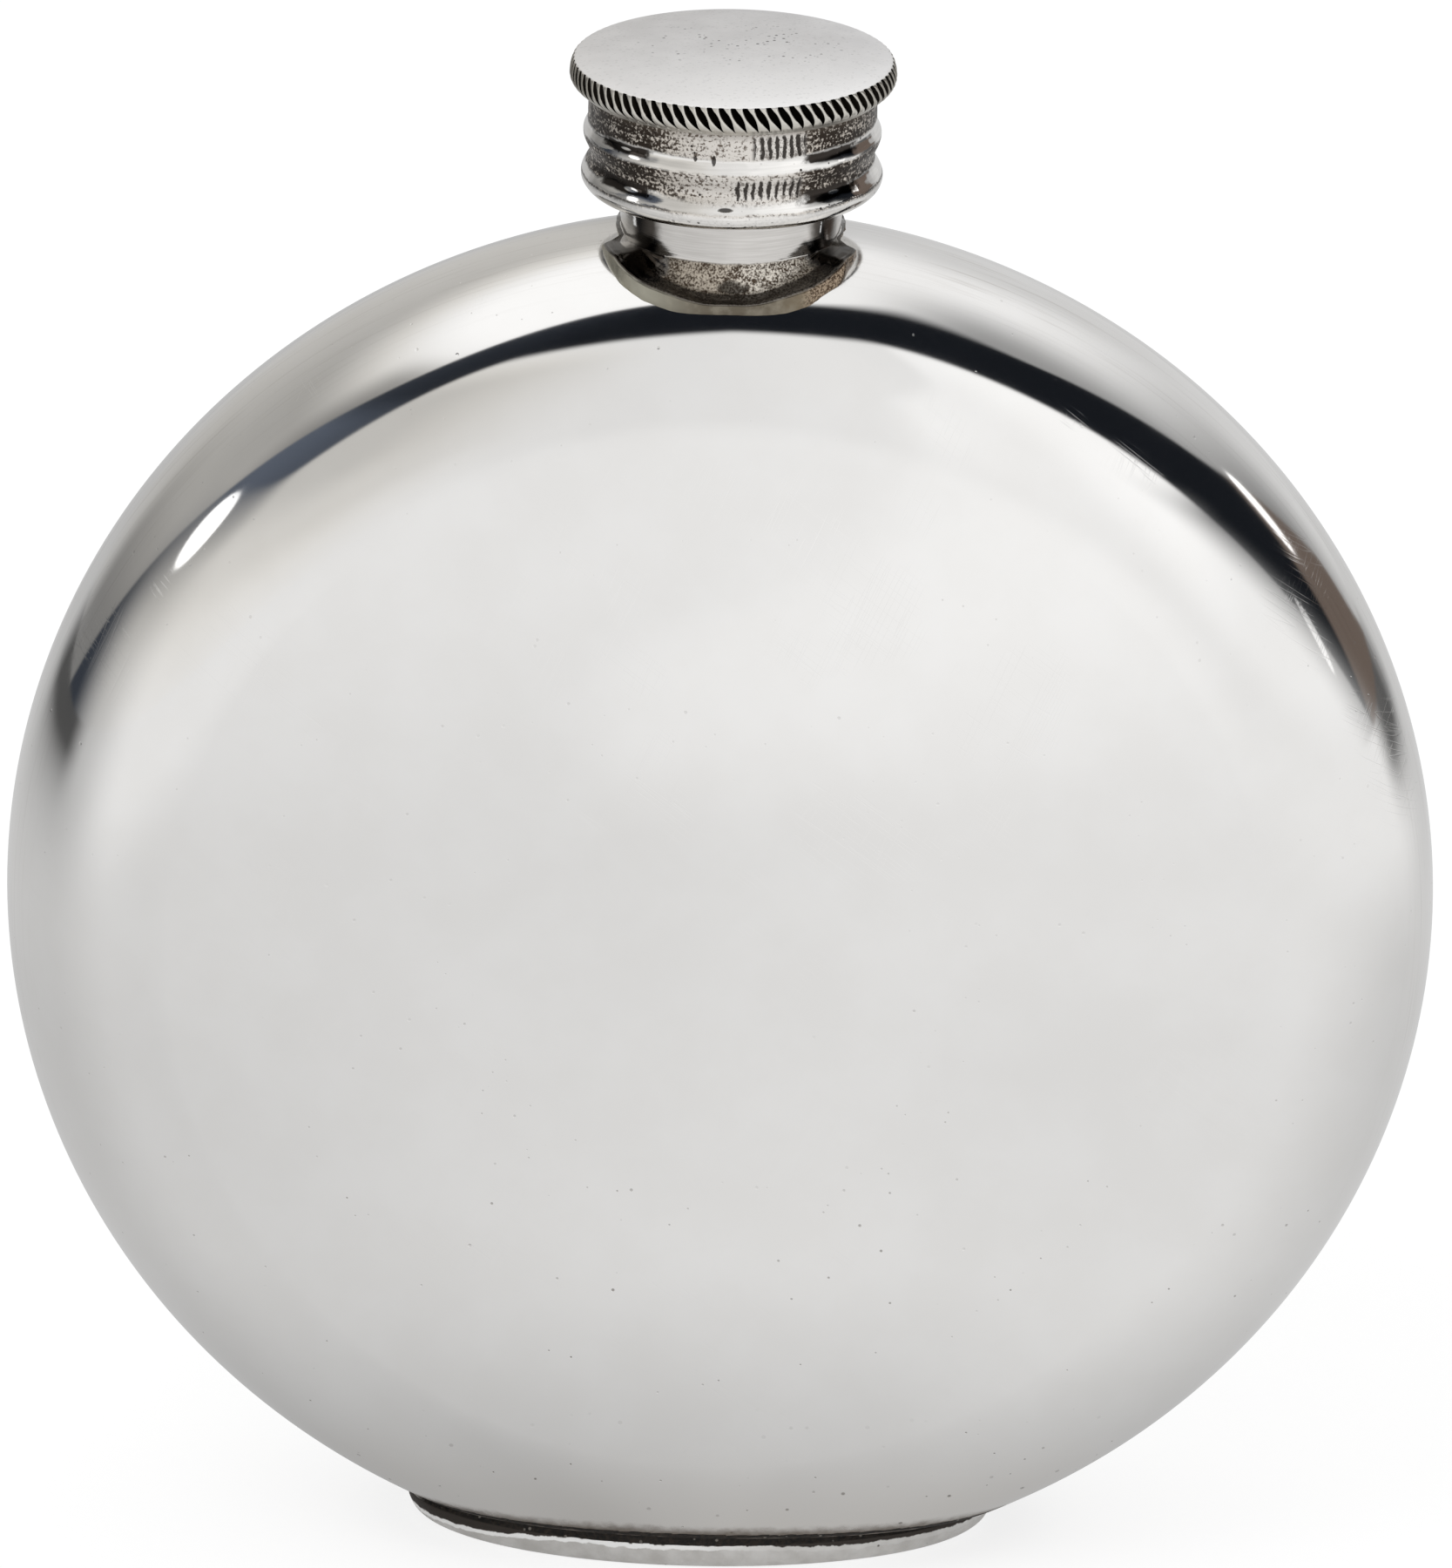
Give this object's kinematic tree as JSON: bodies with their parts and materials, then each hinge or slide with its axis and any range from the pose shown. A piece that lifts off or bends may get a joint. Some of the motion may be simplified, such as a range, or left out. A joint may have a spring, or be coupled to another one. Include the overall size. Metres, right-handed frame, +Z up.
{
  "type": "hip flask",
  "caption": "Round pewter hip flask: a flat disc body with softly swelling faces on an oval foot, a saddle neck and a screw cap with a rope-cut edge, for carrying a drink.",
  "frame": {"origin": "middle of the foot's underside, on the surface that the flask stands on", "axes": "+Z up along the neck, -Y out of the front face, +X to the right as seen from the front"},
  "size_m": [0.105, 0.031, 0.1149],
  "materials": {
    "polished_pewter": "polished pewter with fine scratches and pits",
    "turned_pewter": "turned pewter, satin, with dark patina in the cuts",
    "cast_pewter": "cast pewter, bright on the beads and dark and speckled in the grooves",
    "bright_solder": "solder, cleaned and polished",
    "dark_solder": "solder, blackened",
    "cork": "cork, close grained"
  },
  "bodies": {
    "flask": {"front_shell": "polished_pewter", "back_shell": "polished_pewter", "left_seam": "bright_solder", "right_seam": "bright_solder", "foot": "polished_pewter", "foot_solder": "dark_solder", "neck": "turned_pewter", "neck_solder": "bright_solder"},
    "liner": {"cap_liner": "cork"},
    "cap": {"cap_skirt": "cast_pewter", "cap_crown": "turned_pewter"}
  },
  "joints": [
    {"name": "cap_rise", "type": "slide", "parent": "flask", "child": "liner", "axis": [0, 0, 1], "range_m": [0, 0.01626]},
    {"name": "cap_turn", "type": "hinge", "parent": "liner", "child": "cap", "pos_m": [0, 0, 0.1047], "axis": [0, 0, 1], "range_deg": [0, 2340]}
  ],
  "couplings": [
    {"joint": "cap_rise", "follows": "cap_turn", "m_per_rad": 0.00039789}
  ]
}
